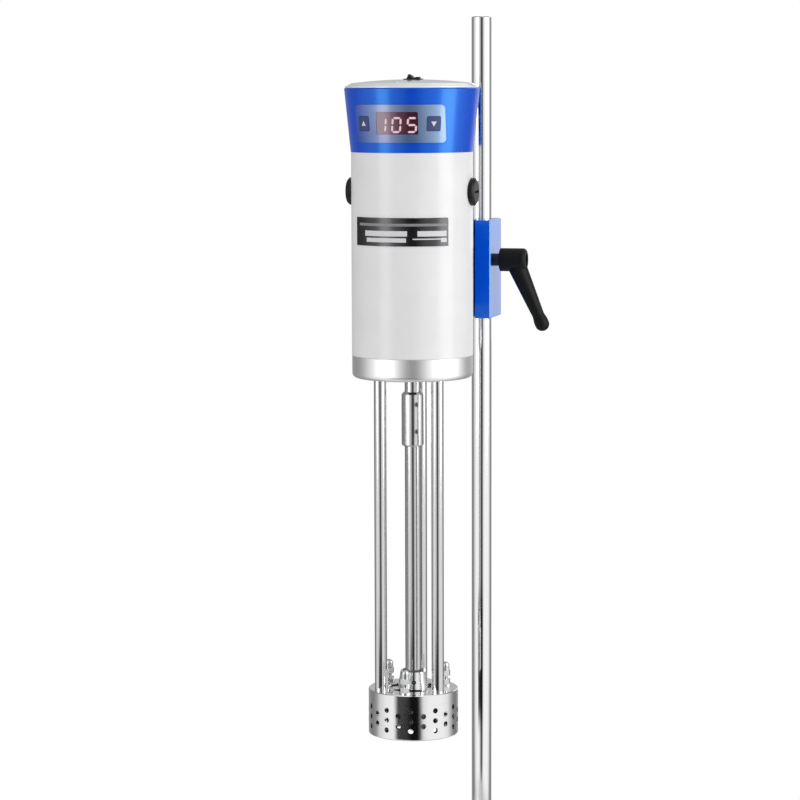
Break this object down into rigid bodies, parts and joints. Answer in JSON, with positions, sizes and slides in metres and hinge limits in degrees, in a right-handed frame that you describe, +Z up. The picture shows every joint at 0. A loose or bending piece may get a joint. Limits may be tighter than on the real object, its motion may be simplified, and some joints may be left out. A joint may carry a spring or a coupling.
{
  "type": "rotor stator homogenizer",
  "caption": "Laboratory high-shear homogenizer on a lift stand: motor head with control panel, long shaft between support rods, perforated stator with rotor, clamp with lever.",
  "frame": {"origin": "centre of the stand's base on the table", "axes": "+Z up along the column, the instrument's front faces -Y, +X to the right seen from the front"},
  "size_m": [0.245, 0.3, 0.74],
  "materials": {
    "paint_blue": "gloss",
    "paint_white": "satin",
    "cover_white": "gloss",
    "chrome": "polished",
    "steel": "satin",
    "steel_polished": "polished",
    "bell_aluminium": "polished",
    "steel_black": "satin",
    "copper": "satin",
    "brass": "satin",
    "bush_plastic": "matte",
    "rubber": "matte",
    "black_plastic": "satin",
    "carbon": "matte",
    "board": "satin",
    "panel_film": "gloss",
    "display_dark": "gloss",
    "display_lit": "satin",
    "key_blue": "satin",
    "plate_black": "gloss"
  },
  "bodies": {
    "stand": {"base_plate": "paint_blue", "rubber_feet": "rubber", "foot_screws": "steel", "column": "chrome", "column_bolt_and_washer": "steel"},
    "liner": {"clamp_liner": "bush_plastic"},
    "head": {"clamp_block": "paint_blue", "support_arm": "paint_blue", "head_shell": "paint_blue", "motor_housing": "paint_white", "top_cover": "cover_white", "support_rods": "chrome", "arm_screws": "steel", "bell_screws": "steel", "cover_screws": "steel", "rod_nuts": "steel", "brush_springs": "steel", "bearing_outer_rings": "steel", "field_core": "steel", "tie_studs": "steel", "stator_frame": "steel_polished", "stator_ring": "steel_polished", "inlet_ring": "steel_polished", "tie_nuts_and_washers": "steel_polished", "cap_nuts": "steel_polished", "end_bell": "bell_aluminium", "bearing_bridge": "bell_aluminium", "field_coils": "copper", "inlet_pins": "brass", "shaft_bush": "bush_plastic", "shaft_seal": "rubber", "brush_caps": "black_plastic", "power_inlet": "black_plastic", "power_switch": "black_plastic", "brush_holders": "black_plastic", "display_module": "black_plastic", "carbon_brushes": "carbon", "control_board": "board", "control_panel": "panel_film", "display_window": "display_dark", "display_figures": "display_lit", "nameplate": "plate_black"},
    "spindle": {"motor_shaft": "steel", "armature_core": "steel", "armature_windings": "copper", "commutator": "copper", "cooling_fan": "black_plastic", "bearing_inner_rings_and_balls": "steel", "coupling": "steel_polished", "coupling_set_screws": "steel", "long_shaft": "steel_polished", "rotor": "steel_polished", "rotor_nut": "steel_polished"},
    "clamp_screw": {"lever_stud": "steel_black", "lever_screw": "steel"},
    "lever": {"lever_handle": "black_plastic", "lever_spring": "steel"},
    "up_key": {"key_up": "key_blue"},
    "down_key": {"key_down": "key_blue"},
    "rocker": {"power_rocker": "black_plastic"}
  },
  "joints": [
    {"name": "height_slide", "type": "slide", "parent": "stand", "child": "liner", "axis": [0, 0, 1], "range_m": [-0.12, 0.165]},
    {"name": "head_swivel", "type": "hinge", "parent": "liner", "child": "head", "pos_m": [0, 0.105, 0.53], "axis": [0, 0, 1], "continuous": true},
    {"name": "spindle_spin", "type": "hinge", "parent": "head", "child": "spindle", "pos_m": [-0.0235, -0.046, 0.4], "axis": [0, 0, 1], "continuous": true},
    {"name": "clamp_turn", "type": "hinge", "parent": "head", "child": "clamp_screw", "pos_m": [0, 0.086, 0.537], "axis": [1, 0, 0], "range_deg": [0, 120]},
    {"name": "lever_lift", "type": "slide", "parent": "clamp_screw", "child": "lever", "axis": [1, 0, 0], "range_m": [0, 0.004], "stiffness_N_per_m": 400, "springref_m": -0.003, "deforming": ["lever_spring"]},
    {"name": "key_up_press", "type": "slide", "parent": "head", "child": "up_key", "axis": [0.5446, 0.8387, 0], "range_m": [0, 0.0006], "stiffness_N_per_m": 900, "springref_m": -0.0004},
    {"name": "key_down_press", "type": "slide", "parent": "head", "child": "down_key", "axis": [-0.5446, 0.8387, 0], "range_m": [0, 0.0006], "stiffness_N_per_m": 900, "springref_m": -0.0004},
    {"name": "rocker_tilt", "type": "hinge", "parent": "head", "child": "rocker", "pos_m": [-0.0211, -0.051, 0.6864], "axis": [0, 1, 0], "range_deg": [-28, 0]}
  ]
}
